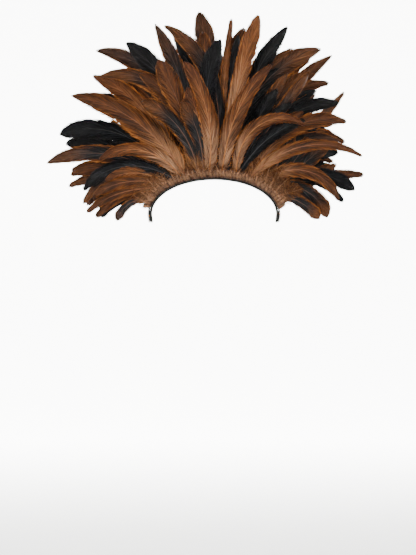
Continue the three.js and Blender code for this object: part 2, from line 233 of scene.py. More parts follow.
def attribute(tree, name):
    return addNode(tree, "ShaderNodeAttribute", attribute_name=name).outputs["Fac"]


def vaneUv(tree):
    return addNode(tree, "ShaderNodeUVMap", uv_map="vane").outputs[0]


def bumps(tree, height, strength, distance):
    values = {"Height": height, "Strength": strength, "Distance": distance}
    return addNode(tree, "ShaderNodeBump", values).outputs[0]


def shaded(tree, colour, shade):
    grey = addNode(tree, "ShaderNodeCombineColor", {0: shade, 1: shade, 2: shade}).outputs[0]
    return blendColours(tree, 1.0, colour, grey, "MULTIPLY")


def newMaterial(name):
    material = bpy.data.materials.new(name)
    material.use_nodes = True
    tree = material.node_tree
    return material, tree, tree.nodes["Principled BSDF"]


# Colours of each dye. The lighter streak colour and its depth are painted sheen, which stands in for the
# gloss of the feathers.
dyesAndPaintedSheen = {
    "tan": {
        "root": (0.158, 0.078, 0.040), "heart": (0.072, 0.0235, 0.0055), "edge": (0.070, 0.020, 0.0036),
        "tip": (0.042, 0.011, 0.0018), "rim": (0.25, 0.080, 0.015), "heartReach": 0.66, "rootReach": 0.66,
        "gleam": (0.235, 0.124, 0.067), "gleamDepth": 0.5,
        "roughness": 0.6, "gloss": 0.12,
    },
    "brown": {
        "root": (0.14, 0.062, 0.026), "heart": (0.034, 0.0105, 0.0025), "edge": (0.105, 0.032, 0.0060),
        "tip": (0.040, 0.0118, 0.0024), "rim": (0.20, 0.068, 0.014), "heartReach": 0.62, "rootReach": 0.5,
        "gleam": (0.16, 0.056, 0.013), "gleamDepth": 0.45,
        "roughness": 0.56, "gloss": 0.12,
    },
    "dark": {
        "root": (0.13, 0.055, 0.020), "heart": (0.0062, 0.0058, 0.0062), "edge": (0.12, 0.036, 0.007),
        "tip": (0.055, 0.0190, 0.0055), "rim": (0.22, 0.076, 0.016), "heartReach": 0.78, "rootReach": 0.3,
        "gleam": (0.075, 0.064, 0.060), "gleamDepth": 0.4,
        "roughness": 0.54, "gloss": 0.08,
    },
    "black": {
        "root": (0.004, 0.0034, 0.0034), "heart": (0.0018, 0.0020, 0.0026), "edge": (0.0035, 0.003, 0.003),
        "tip": (0.005, 0.0045, 0.0045), "rim": (0.010, 0.009, 0.009), "heartReach": 0.8, "rootReach": 0.2,
        "gleam": (0.044, 0.046, 0.052), "gleamDepth": 0.45,
        "roughness": 0.5, "gloss": 0.06,
    },
    "down": {
        "root": (0.105, 0.050, 0.024), "heart": (0.070, 0.028, 0.011), "edge": (0.070, 0.026, 0.009),
        "tip": (0.068, 0.024, 0.007), "rim": (0.24, 0.110, 0.050), "heartReach": 0.6, "rootReach": 0.6,
        "gleam": (0.36, 0.19, 0.10), "gleamDepth": 0.55,
        "roughness": 0.75, "gloss": 0.08,
    },
}
# Marks on the vanes. The streaks lighten and darken the colour: partly the barbs' own streaks, partly
# painted shade in the gaps between barb locks and painted highlights on the locks. The sheen streaks are
# painted sheen.
vaneMarksAndPaintedLight = {
    "streaks": 52.0, "slant": 0.36, "streakDepth": 3.0, "barbDepth": 0.9, "toneDepth": 0.45,
    "patches": 14.0, "tipFromTo": (0.6, 0.92), "gleamFromTo": (0.54, 0.72), "rimFromTo": (0.8, 0.94),
    "rimDepth": 0.9, "darkest": 0.15,
}


def vaneMaterial(name, dye):
    material, tree, surface = newMaterial(name)
    uv = vaneUv(tree)
    place = addNode(tree, "ShaderNodeSeparateXYZ", {0: uv}).outputs
    across = maths(tree, "ABSOLUTE", timesPlus(tree, place[0], 2.0, -1.0))
    along = place[1]
    feather = attribute(tree, "featherTone")
    barb = attribute(tree, "barbTone")
    # streaks run out along the barbs, which sweep towards the tip
    sweep = times(tree, maths(tree, "POWER", across, 1.2), vaneMarksAndPaintedLight["slant"])
    slanted = maths(tree, "SUBTRACT", along, sweep)
    side = times(tree, maths(tree, "GREATER_THAN", place[0], 0.5), 7.3)
    shifted = timesPlus(tree, feather, 53.0, side)
    spot = vector(tree, times(tree, slanted, vaneMarksAndPaintedLight["streaks"]), times(tree, across, 1.6), shifted)
    streak = noise(tree, spot, 1.0, 4.0, 0.62)
    patchSpot = vector(tree, times(tree, slanted, vaneMarksAndPaintedLight["patches"]), times(tree, across, 1.2), shifted)
    patch = noise(tree, patchSpot, 1.0, 3.0)
    uneven = swayed(tree, across, patch, 0.9)
    outer = remap(tree, uneven, dye["heartReach"] - 0.22, dye["heartReach"] + 0.3)
    colour = blendColours(tree, outer, dye["heart"], dye["edge"])
    alongUneven = swayed(tree, along, patch, 0.25)
    reach = timesPlus(tree, feather, 0.7 * dye["rootReach"], 0.6 * dye["rootReach"])
    grown = remap(tree, alongUneven, times(tree, reach, 0.25), reach)
    colour = blendColours(tree, grown, dye["root"], colour)
    tipped = remap(tree, alongUneven, *vaneMarksAndPaintedLight["tipFromTo"])
    tipped = times(tree, tipped, remap(tree, feather, 0.5, 1.0, 1.0, 0.25))
    colour = blendColours(tree, tipped, colour, dye["tip"])
    thinEdge = swayed(tree, across, patch, 0.25)
    # Painted sheen: lighter streaks in place of the feathers' gloss, weaker towards the tip
    paintedSheenMask = times(tree, remap(tree, streak, *vaneMarksAndPaintedLight["gleamFromTo"]), dye["gleamDepth"])
    paintedSheenMask = times(tree, paintedSheenMask, remap(tree, along, 0.35, 0.7, 1.0, 0.45))
    colour = blendColours(tree, paintedSheenMask, colour, dye["gleam"])
    rimmed = times(tree, remap(tree, thinEdge, *vaneMarksAndPaintedLight["rimFromTo"]), vaneMarksAndPaintedLight["rimDepth"])
    colour = blendColours(tree, rimmed, colour, dye["rim"])
    # Painted shade and highlight: the streaks darken the gaps between barb locks and lighten the locks, on
    # top of the barbs' own tone; the feather's tone darkens the under feathers as painted shade
    shade = swayed(tree, 1.0, streak, vaneMarksAndPaintedLight["streakDepth"] * 2)
    shade = swayed(tree, shade, barb, vaneMarksAndPaintedLight["barbDepth"])
    shade = swayed(tree, shade, feather, vaneMarksAndPaintedLight["toneDepth"])
    shade = maths(tree, "MAXIMUM", shade, vaneMarksAndPaintedLight["darkest"])
    colour = shaded(tree, colour, shade)
    rough = remap(tree, streak, 0.3, 0.7, dye["roughness"] - 0.08, dye["roughness"] + 0.12, smooth=False)
    setInputs(surface, {"Base Color": colour, "Roughness": rough, "Specular IOR Level": dye["gloss"],
                        "Normal": bumps(tree, streak, 0.45, 0.0006)})
    return material


shaftColours = {
    "tan": ((0.12, 0.034, 0.006), (0.22, 0.075, 0.016)),
    "brown": ((0.06, 0.016, 0.004), (0.15, 0.05, 0.016)),
    "dark": ((0.02, 0.009, 0.005), (0.07, 0.026, 0.010)),
    "black": ((0.005, 0.0045, 0.0045), (0.010, 0.009, 0.009)),
    "down": ((0.16, 0.065, 0.025), (0.22, 0.10, 0.045)),
}


def shaftMaterial(name, colours):
    material, tree, surface = newMaterial(name)
    uv = vaneUv(tree)
    along = addNode(tree, "ShaderNodeSeparateXYZ", {0: uv}).outputs[1]
    mottle = noise(tree, uv, 30.0, 3.0)
    mixed = swayed(tree, maths(tree, "SUBTRACT", 1.0, along), mottle, 0.8)
    colour = blendColours(tree, remap(tree, mixed, 0.1, 0.9), colours[0], colours[1])
    setInputs(surface, {"Base Color": colour, "Roughness": 0.4, "Specular IOR Level": 0.25})
    return material


downLook = {"dark": (0.036, 0.0135, 0.005), "light": (0.200, 0.098, 0.049), "grain": 160.0}


# Down for the roll: pale hairs over a darker body. The core carries no tone, so it takes the darkest
# colour, as painted shade in the gaps between the wraps
def downMaterial(name, look):
    material, tree, surface = newMaterial(name)
    place = objectPlace(tree)
    fine = noise(tree, place, look["grain"] * 5, 4.0)
    broad = noise(tree, place, look["grain"], 2.0)
    tone = attribute(tree, "barbTone")
    mixed = timesPlus(tree, tone, 0.55, times(tree, broad, 0.5))
    mixed = swayed(tree, mixed, fine, 0.9)
    colour = blendColours(tree, remap(tree, mixed, 0.1, 0.85), look["dark"], look["light"])
    setInputs(surface, {"Base Color": colour, "Roughness": 0.8, "Specular IOR Level": 0.2,
                        "Sheen Weight": 0.08, "Normal": bumps(tree, fine, 0.6, 0.0005)})
    return material


bandLook = {"thread": 1500.0, "dark": (0.006, 0.006, 0.006), "light": (0.03, 0.028, 0.026)}


def bandMaterial(name, look):
    material, tree, surface = newMaterial(name)
    place = objectPlace(tree)
    threads = {"Vector": place, "Scale": look["thread"] / 6, "Distortion": 1.2}
    waves = [addNode(tree, "ShaderNodeTexWave", threads, bands_direction=direction) for direction in "YX"]
    weave = maths(tree, "MAXIMUM", *(wave.outputs["Fac"] for wave in waves))
    wear = noise(tree, place, 60.0, 5.0)
    colour = blendColours(tree, times(tree, weave, wear), look["dark"], look["light"])
    setInputs(surface, {"Base Color": colour, "Roughness": 0.88, "Specular IOR Level": 0.08,
                        "Normal": bumps(tree, weave, 0.5, 0.0003)})
    return material


beadLook = {"black": (0.006, 0.007, 0.009), "amber": (0.42, 0.13, 0.02), "slate": (0.05, 0.07, 0.10)}


def beadMaterial(name, look):
    material, tree, surface = newMaterial(name)
    tone = attribute(tree, "barbTone")
    place = objectPlace(tree)
    cloud = noise(tree, place, 900.0, 2.0)
    isSlate = maths(tree, "GREATER_THAN", tone, 0.76)
    isAmber = maths(tree, "GREATER_THAN", tone, 0.87)
    colour = blendColours(tree, isSlate, look["black"], look["slate"])
    colour = blendColours(tree, isAmber, colour, look["amber"])
    shade = remap(tree, cloud, 0.3, 0.7, 0.7, 1.3, smooth=False)
    colour = shaded(tree, colour, shade)
    setInputs(surface, {"Base Color": colour, "Roughness": 0.12, "Coat Weight": 0.6})
    return material


# Feathers

barbs = {
    "pitch": 0.00135, "sweep": 4.0, "ragged": 0.14, "split": 0.5, "locks": 20.0, "barbWidth": 0.0009,
    "flatness": 0.2, "steps": 6, "lift": 0.0008, "downReach": 0.24, "downWave": 0.0026, "footWidth": 0.7,
    "fullness": 1.04, "tipFullness": 0.16, "tipRound": 0.0043, "cup": 0.16, "turn": 0.36,
    "footReach": 0.3, "sickleFrom": 0.3, "sickleSpan": 0.5, "tipAt": 0.88, "tipSpan": 0.13,
    "roundFrom": 0.8, "roundSpan": 0.08,
}


# One flat vane of barbs: X across, Y along the shaft, Z towards the viewer
def barbTree():
    tree, given = newGeometryTree("featherBarbs", {
        "Barbs": 160, "Length": 0.15, "Half Width": 0.01, "Sweep": 1.3, "Ragged": 0.1, "Split": 0.5,
        "Locks": 20.0, "Barb Width": 0.001, "Flatness": 0.2, "Lift": 0.0005, "Down Reach": 0.2,
        "Down Wave": 0.002, "Steps": 6, "Seed": 0, "Material": None})
    points = geometry(tree, "Points", {"Count": given["Barbs"]})
    line = geometry(tree, "CurvePrimitiveLine")
    line = geometry(tree, "ResampleCurve", {"Curve": line, "Count": given["Steps"]})
    barb = geometry(tree, "InstanceOnPoints", {"Points": points, "Instance": line})
    barb = geometry(tree, "RealizeInstances", {0: barb})
    index = geometry(tree, "InputIndex")
    number = geometry(tree, "FieldOnDomain", {0: index}, data_type="INT", domain="CURVE")
    reach = addNode(tree, "GeometryNodeSplineParameter").outputs["Factor"]
    side = timesPlus(tree, maths(tree, "MODULO", number, 2.0), 2.0, -1.0)
    seed = given["Seed"]
    jitter = randomValue(tree, 0.0, 1.6, number, seed)
    along = maths(tree, "DIVIDE", maths(tree, "ADD", number, jitter), given["Barbs"])
    tone = randomValue(tree, 0.0, 1.0, number, seed, 11.0)
    short = randomValue(tree, 0.0, 1.0, number, seed, 23.0)
    height = randomValue(tree, -1.0, 1.0, number, seed, 37.0)
    phase = randomValue(tree, 0.0, 6.28, number, seed, 51.0)
    # barbs lean together in locks, and the vane splits between the locks
    lockSpot = timesPlus(tree, along, given["Locks"], timesPlus(tree, side, 39.0, seed))
    lock = addNode(tree, "ShaderNodeTexNoise", {"W": lockSpot, "Scale": 1.0, "Detail": 1.0},
                   noise_dimensions="1D").outputs[0]
    lock = times(tree, maths(tree, "SUBTRACT", lock, 0.5), given["Split"])
    down = remap(tree, along, 0.0, given["Down Reach"], 1.0, 0.0)
    squared = times(tree, reach, reach)
    outward = timesPlus(tree, times(tree, short, given["Ragged"]), -1.0, 1.06)
    outward = timesPlus(tree, lock, 0.32, outward)
    outward = timesPlus(tree, down, timesPlus(tree, short, 0.5, -0.1), outward)
    spread = times(tree, times(tree, side, given["Half Width"]), times(tree, outward, reach))
    curve = timesPlus(tree, squared, 0.35, times(tree, reach, 0.65))
    sweep = times(tree, given["Sweep"], timesPlus(tree, lock, 0.4, 1.0))
    sweep = times(tree, sweep, timesPlus(tree, down, -0.8, 1.0))
    forward = times(tree, times(tree, curve, sweep), given["Half Width"])
    wave = maths(tree, "SINE", timesPlus(tree, reach, 7.0, phase))
    wavy = times(tree, times(tree, down, given["Down Wave"]), reach)
    forward = timesPlus(tree, wave, wavy, forward)
    # near the tip the barbs close up, so that none runs past the end of the shaft
    left = maths(tree, "SUBTRACT", 1.004, maths(tree, "MINIMUM", along, 1.0))
    room = times(tree, left, given["Length"])
    blunt = remap(tree, along, 0.5, 1.0, -1.0, -3.0)
    kept = maths(tree, "EXPONENT", maths(tree, "DIVIDE", forward, times(tree, room, blunt)))
    y = maths(tree, "SUBTRACT", given["Length"], times(tree, room, kept))
    rise = times(tree, times(tree, height, given["Lift"]), timesPlus(tree, down, 5.0, 1.0))
    z = times(tree, rise, reach)
    spot = vector(tree, spread, y, z)
    barb = geometry(tree, "SetPosition", {"Geometry": barb, "Position": spot})
    taper = remap(tree, reach, 0.55, 1.0, 1.0, 0.12)
    thin = times(tree, timesPlus(tree, down, -0.45, 1.0), given["Barb Width"])
    barb = geometry(tree, "SetCurveNormal", {"Curve": barb}, mode="Z_UP")
    barb = storeTone(tree, barb, tone, "POINT")
    ring = geometry(tree, "CurvePrimitiveCircle", {"Resolution": 3, "Radius": 1.0})
    flat = vector(tree, 1.0, given["Flatness"], 1.0)
    ring = geometry(tree, "Transform", {"Geometry": ring, "Scale": flat})
    body = geometry(tree, "CurveToMesh", {
        "Curve": barb, "Profile Curve": ring, "Scale": times(tree, taper, thin), "Fill Caps": True})
    endTree(tree, body, given["Material"])
    return tree


# Reads where a feather lies from its CAD blade: the shaft's ridge is thick at the root and thin at
# the tip, so the thickness orders the sections, and each has an edge on either side of the shaft
def readBlade(node):
    spots = np.array([vertex.co[:] for vertex in nodes[node].data.vertices])
    spots = np.unique(np.round(spots, 7), axis=0)
    flat = spots[:, [0, 2]]
    near = np.hypot(*(flat[:, None] - flat[None]).transpose(2, 0, 1)) < 2e-6
    pairs = [(i, j) for i, j in zip(*np.nonzero(np.triu(near, 1)))]
    thickness = np.array([abs(spots[i, 1] - spots[j, 1]) for i, j in pairs])
    order = np.argsort(-thickness)
    ridge = np.array([(spots[pairs[k][0]] + spots[pairs[k][1]]) / 2 for k in order])
    at = (thickness[order[0]] - thickness[order]) / (thickness[order[0]] - thickness[order[-1]])
    used = {i for pair in pairs for i in pair}
    edges = spots[[i for i in range(len(spots)) if i not in used]]
    first, second = np.triu_indices(len(edges), 1)
    middles = (edges[first] + edges[second])[:, [0, 2]] / 2
    left, right = [], []
    heading = np.gradient(ridge, axis=0)
    for place, ahead in zip(ridge, heading):
        best = np.argmin(np.hypot(*(middles - place[[0, 2]]).T))
        pair = edges[[first[best], second[best]]]
        # the right-hand edge when the feather points up and is seen from behind
        turn = (pair[:, 0] - place[0]) * ahead[2] - (pair[:, 2] - place[2]) * ahead[0]
        left.append(pair[np.argmin(turn)])
        right.append(pair[np.argmax(turn)])
    return {"at": at, "ridge": ridge, "left": np.array(left), "right": np.array(right)}


def smoothThrough(at, values, where):
    slopes = np.gradient(values, at, axis=0)
    step = np.clip(np.searchsorted(at, where) - 1, 0, len(at) - 2)
    span = (at[step + 1] - at[step])[:, None]
    x = (where - at[step])[:, None] / span
    return ((2 * x**3 - 3 * x**2 + 1) * values[step] + (x**3 - 2 * x**2 + x) * span * slopes[step]
            + (3 * x**2 - 2 * x**3) * values[step + 1] + (x**3 - x**2) * span * slopes[step + 1])


# Lays a flat part on the blade, and keeps its place on the vane as UV
def layOnBlade(part, blade, length, halfWidth, turned, slim, girth):
    spots = part["spots"]
    where = np.clip(spots[:, 1] / length, 0, 1)
    ridge = smoothThrough(blade["at"], blade["ridge"], where)
    left = smoothThrough(blade["at"], blade["left"], where)
    right = smoothThrough(blade["at"], blade["right"], where)
    small = 0.004
    ahead = (smoothThrough(blade["at"], blade["ridge"], np.clip(where + small, 0, 1))
             - smoothThrough(blade["at"], blade["ridge"], np.clip(where - small, 0, 1)))
    ahead /= np.linalg.norm(ahead, axis=1, keepdims=True)
    side = right - left
    half = np.linalg.norm(side, axis=1, keepdims=True) / 2
    side /= 2 * half
    outward = np.cross(side, ahead)
    outward /= np.linalg.norm(outward, axis=1, keepdims=True)
    twist = turned * np.minimum(1, 1.6 * where)[:, None]
    cosine, sine = np.cos(twist), np.sin(twist)
    side, outward = side * cosine + outward * sine, outward * cosine - side * sine
    across = spots[:, :1] / halfWidth
    bow = (left + right) / 2 - ridge
    facing = np.sign((bow * outward).sum(1, keepdims=True))
    bow = bow + facing * outward * half * barbs["cup"] * np.minimum(1, 3 * where)[:, None]
    near = np.clip(1 - where / barbs["footReach"], 0, 1)[:, None] ** 0.6
    foot = barbs["footWidth"] * part.get("downy", 0.0) * halfWidth * near
    late = np.clip((where[:, None] - barbs["sickleFrom"]) / barbs["sickleSpan"], 0, 1)
    slimmed = 1 - slim * late * late * (3 - 2 * late)
    tipwards = np.exp(-((where[:, None] - barbs["tipAt"]) / barbs["tipSpan"]) ** 2)
    fuller = slimmed * barbs["fullness"] + slimmed**2 * barbs["tipFullness"] * tipwards
    radius = barbs["tipRound"] * (1 - slim)
    beyond = np.clip(1 - length * (1 - where[:, None]) / radius, 0, 1)
    starting = np.clip((where[:, None] - barbs["roundFrom"]) / barbs["roundSpan"], 0, 1)
    rounded = radius * np.sqrt(1 - beyond**2) * starting
    wide = np.maximum(np.maximum(half * fuller * girth, foot), rounded)
    width = np.where(part.get("ownWidth", False), spots[:, :1], across * wide)
    past = spots[:, 1:2] - where[:, None] * length
    laid = ridge + side * width + bow * np.minimum(across**2, 1.4) + outward * spots[:, 2:] + ahead * past
    uv = np.stack([0.5 + 0.5 * np.clip(across[:, 0], -1, 1), where], 1)
    return {**part, "spots": laid, "uv": uv}


blades = {"cover": 0.86, "depth": 0.0003, "steps": 34, "columns": 9, "waviness": 0.06}


# The closed skin under the barbs
def bladePart(length, halfWidth, generator):
    rings = []
    columns = np.linspace(-1, 1, blades["columns"])
    phases = generator.uniform(0, 6.28, 4)
    for step in range(blades["steps"] + 1):
        along = 0.012 + 0.975 * step / blades["steps"]
        wave = [math.sin(along * 60 + phases[0]) + math.sin(along * 23 + phases[1]),
                math.sin(along * 54 + phases[2]) + math.sin(along * 27 + phases[3])]
        reach = np.where(columns < 0, 1 + blades["waviness"] * wave[0], 1 + blades["waviness"] * wave[1])
        x = columns * halfWidth * blades["cover"] * reach
        thick = blades["depth"] * (1.05 - columns**2)
        sweep = 0.35 * halfWidth * (np.abs(columns) - 0.5) * min(1, 8 * (1 - along))
        y = np.full_like(x, along * length) + sweep
        front = np.stack([x, y, thick], 1)
        back = np.stack([x, y, -thick], 1)[::-1]
        rings.append(np.concatenate([back, front]))
    return ringPart(rings)


shafts = {
    "rootRadius": 0.0009, "tipRadius": 0.00016, "steps": 30, "sides": 6, "end": 0.975, "tucked": 0.0016,
}


def shaftPart(length):
    rings = []
    angles = np.arange(shafts["sides"]) / shafts["sides"] * 2 * math.pi
    for step in range(shafts["steps"] + 1):
        share = step / shafts["steps"]
        radius = shafts["rootRadius"] * (1 - share) ** 0.8 + shafts["tipRadius"]
        y = share * shafts["end"] * length - shafts["tucked"] * (1 - share)
        ring = [radius * np.cos(angles), np.full_like(angles, y), -radius * np.sin(angles)]
        rings.append(np.stack(ring, 1))
    return {**ringPart(rings), "slot": 1, "ownWidth": True}


# A smaller feather halfway between two others, as the ones bound in underneath lie
def bladeBetween(one, other, share, reach):
    at = np.linspace(0, 1, 14)

    def along(part, where):
        first = smoothThrough(one["at"], one[part], where)
        second = smoothThrough(other["at"], other[part], where)
        return (1 - share) * first + share * second

    ridge = along("ridge", at * reach)
    behind = np.maximum(*(smoothThrough(part["at"], part["ridge"], at)[:, 1] for part in (one, other)))
    ridge[:, 1] = np.maximum(ridge[:, 1], behind) + 0.001
    return {"at": at, "ridge": ridge, "left": ridge + along("left", at) - along("ridge", at),
            "right": ridge + along("right", at) - along("ridge", at)}


# By the feather's number: how much it narrows to a sickle tip, how full it is and how pale
sickles = {
    1: 0.4, 2: 0.35, 3: 0.3, 4: 0.3, 5: 0.4, 8: 0.3, 12: 0.25, 14: 0.3, 21: 0.3, 25: 0.15, 31: 0.12,
    45: 0.4,
}
girths = {
    2: 1.05, 5: 0.95, 8: 1.38, 10: 1.1, 12: 1.4, 16: 0.84, 17: 0.84, 20: 0.8, 21: 1.15, 23: 1.25,
    24: 1.15, 25: 1.1, 26: 1.25, 28: 1.25, 29: 1.2, 30: 1.15, 31: 1.15, 33: 1.1, 38: 0.88, 39: 0.85,
    43: 1.25, 44: 1.2, 45: 1.15, 46: 1.3, 47: 1.3, 50: 1.3, 51: 1.15, 52: 1.35,
}
paleness = {
    1: 0.3, 2: 0.08, 3: 0.35, 4: 0.2, 5: 0.5, 8: 0.55, 10: 0.6, 11: 0.9, 14: 0.4, 16: 0.1, 17: 0.25,
    20: 0.0, 25: 0.6, 32: 0.3,
}

# The smaller feathers bound in between neighbours. They are kept dark, a share of them black and all with a
# low tone: partly the black feathers that lie there, partly painted shade between the layers
under = {
    "count": 56, "widestGap": 0.085, "widestSeat": 0.05, "shortest": 0.72, "longest": 0.9, "pitch": 0.0021,
    "closestSeat": 0.008, "blackShare": 0.4, "between": (0.35, 0.65), "palest": 0.25, "seed": 12,
}


# The number of locks is given for a feather of this length
lockedLength = 0.15
barbGrower = barbTree()
bare = bpy.data.meshes.new("bare")
vanes = {name: vaneMaterial(f"vane_{name}", dye) for name, dye in dyesAndPaintedSheen.items()}
quills = {name: shaftMaterial(f"shaft_{name}", pair) for name, pair in shaftColours.items()}


# The barbs, skin and shaft of one feather, laid on its blade
def featherParts(blade, dye, number, look, slim=0.0, tone=None, girth=1.0):
    generator = np.random.default_rng(100 + number)
    length = float(np.linalg.norm(np.diff(blade["ridge"], axis=0), axis=1).sum())
    halfWidth = float(np.linalg.norm(blade["right"] - blade["left"], axis=1).max() / 2)
    grown = growMesh(barbGrower, bare, {
        **look, "barbs": 2 * int(length / look["pitch"]), "length": length, "halfWidth": halfWidth,
        "locks": look["locks"] * length / lockedLength, "seed": 7 * number, "material": vanes[dye]})
    parts = [{**readMesh(grown), "downy": 1.0}, shaftPart(length)]
    bpy.data.meshes.remove(grown)
    skin = bladePart(length, halfWidth, generator)
    if not look.get("loose"):
        parts.append(skin)
    drawn = float(generator.uniform(0, 1))
    tone = drawn if tone is None else tone
    turned = float(generator.uniform(-1, 1)) * look["turn"]
    return [{**layOnBlade(part, blade, length, halfWidth, turned, slim, girth), "featherTone": tone}
            for part in parts]


def buildFeathers():
    totals = []

    def buildFeather(name, blade, dye, number, look, replaced=(), slim=0.0, tone=None, girth=1.0):
        laid = featherParts(blade, dye, number, look, slim, tone, girth)
        mesh = joinParts(name, laid, [vanes[dye], quills[dye]])
        totals.append(countTriangles(mesh))
        addPiece(name, mesh, replaced)

    names = sorted(name for name in nodes if name.startswith("feather_"))
    laidBlades = {name: readBlade(name) for name in names}
    for number, name in enumerate(names):
        buildFeather(name + "_barbed", laidBlades[name], name.split("_")[2], number, barbs, [name],
                     sickles.get(number + 1, 0.0), paleness.get(number + 1), girths.get(number + 1, 1.0))
    print("feathers", len(names), "triangles", sum(totals))

    generator = np.random.default_rng(under["seed"])
    pairs = []
    for i, one in enumerate(names):
        for other in names[i + 1:]:
            tips = np.linalg.norm(laidBlades[one]["ridge"][-1] - laidBlades[other]["ridge"][-1])
            seats = np.linalg.norm(laidBlades[one]["ridge"][0] - laidBlades[other]["ridge"][0])
            if tips < under["widestGap"] and under["closestSeat"] < seats < under["widestSeat"]:
                pairs.append((one, other))
    chosen = generator.permutation(len(pairs))[:under["count"]]
    for number, pair in enumerate(sorted(pairs[k] for k in chosen)):
        # Painted shade: a share of black and a low tone keep the under feathers dark
        dye = pair[int(generator.integers(2))].split("_")[2]
        dye = "black" if generator.random() < under["blackShare"] else dye
        blade = bladeBetween(*(laidBlades[name] for name in pair), generator.uniform(*under["between"]),
                             generator.uniform(under["shortest"], under["longest"]))
        buildFeather(f"under_{number + 1:02d}_{dye}", blade, dye, 60 + number,
                     {**barbs, "pitch": under["pitch"]}, tone=generator.uniform(0, under["palest"]))
    print("under feathers", len(chosen), "of", len(pairs), "pairs, triangles", sum(totals))


buildFeathers()


# The band keeps its CAD shape

nodes["headband"].data.materials.clear()
nodes["headband"].data.materials.append(bandMaterial("band_cloth", bandLook))
print("band")


# The arch that the roll and the beads follow, worked out as the band is

arch = {
    "halfWidth": 0.0825, "rise": 0.046, "flare": 0.08, "legLength": 0.010, "legLean": 0.14,
    "bandWidth": 0.034, "bandWall": 0.0026, "clearance": 0.0003,
}


def archPoint(turn, out, depth, down=0.0):
    wide = arch["halfWidth"] + arch["flare"] * depth
    high = arch["rise"] + arch["flare"] * depth
    sine, cosine = math.sin(math.radians(turn)), math.cos(math.radians(turn))
    slope = math.hypot(high * sine, wide * cosine)
    x = wide * sine + out * high * sine / slope
    z = high * cosine - arch["rise"] + out * wide * cosine / slope
    return x - math.copysign(arch["legLean"] * down, turn), depth, z - down


def pathMesh(name, paths):
    spots = [spot for path in paths for spot in path]
    edges, start = [], 0
    for path in paths:
        edges += [(start + i, start + i + 1) for i in range(len(path) - 1)]
        start += len(path)
    mesh = bpy.data.meshes.new(name)
    mesh.from_pydata(spots, edges, [])
    return mesh


def curveStops(tree, curve, pitch):
    values = {"Curve": curve, "Length": pitch}
    return addNode(tree, "GeometryNodeCurveToPoints", values, mode="LENGTH").outputs


# Roll of bound down

roll = {
    "radius": 0.0056, "end": 79.6, "pitch": 0.0043, "core": 0.0046, "wrapRadius": 0.0036,
    "wrapThickness": 0.0023, "lean": 0.3, "stations": 81, "seed": 4,
}
rollHairs = {
    "density": 420000.0, "length": 0.0031, "width": 0.00017, "spread": 0.85, "bend": 0.0022, "steps": 3,
    "seed": 8,
}


def rollPoint(turn, raised=0.0, shifted=0.0):
    depth = roll["radius"] - arch["bandWidth"] / 2 - arch["clearance"] + shifted
    out = arch["bandWall"] + arch["clearance"] + roll["radius"] * math.hypot(1, arch["flare"])
    return archPoint(turn, out + raised, depth)


# Puffed rings round a core, one for each turn of the binding
def rollTree():
    tree, given = newGeometryTree("boundRoll", {
        "Pitch": 0.003, "Core": 0.0046, "Wrap Radius": 0.004, "Wrap Thickness": 0.002, "Lean": 0.3,
        "Seed": 0, "Material": None})
    path = geometry(tree, "MeshToCurve", {0: given[0]})
    core = geometry(tree, "CurvePrimitiveCircle", {"Resolution": 12, "Radius": given["Core"]})
    core = geometry(tree, "CurveToMesh", {"Curve": path, "Profile Curve": core, "Fill Caps": True})
    stops = curveStops(tree, path, given["Pitch"])
    big = geometry(tree, "CurvePrimitiveCircle", {"Resolution": 16, "Radius": given["Wrap Radius"]})
    small = geometry(tree, "CurvePrimitiveCircle", {"Resolution": 7, "Radius": given["Wrap Thickness"]})
    wrap = geometry(tree, "CurveToMesh", {"Curve": big, "Profile Curve": small})
    index = geometry(tree, "InputIndex")
    seed = given["Seed"]
    size = randomValue(tree, 0.9, 1.02, index, seed, 5.0)
    wraps = geometry(tree, "InstanceOnPoints", {
        "Points": stops[0], "Instance": wrap, "Rotation": stops[3], "Scale": size})
    lean = maths(tree, "ADD", given["Lean"], randomValue(tree, -0.3, 0.3, index, seed))
    tilt = vector(tree, lean, randomValue(tree, -0.25, 0.25, index, seed, 3.0))
    wraps = geometry(tree, "RotateInstances", {"Instances": wraps, "Rotation": tilt})
    tone = randomValue(tree, 0.35, 0.65, index, seed, 9.0)
    wraps = storeTone(tree, wraps, tone)
    # The core gets no tone and so the dark colour of the down: painted shade in the gaps between the wraps
    both = addNode(tree, "GeometryNodeJoinGeometry", {0: core})
    tree.links.new(wraps, both.inputs[0])
    endTree(tree, both.outputs[0], given["Material"])
    return tree


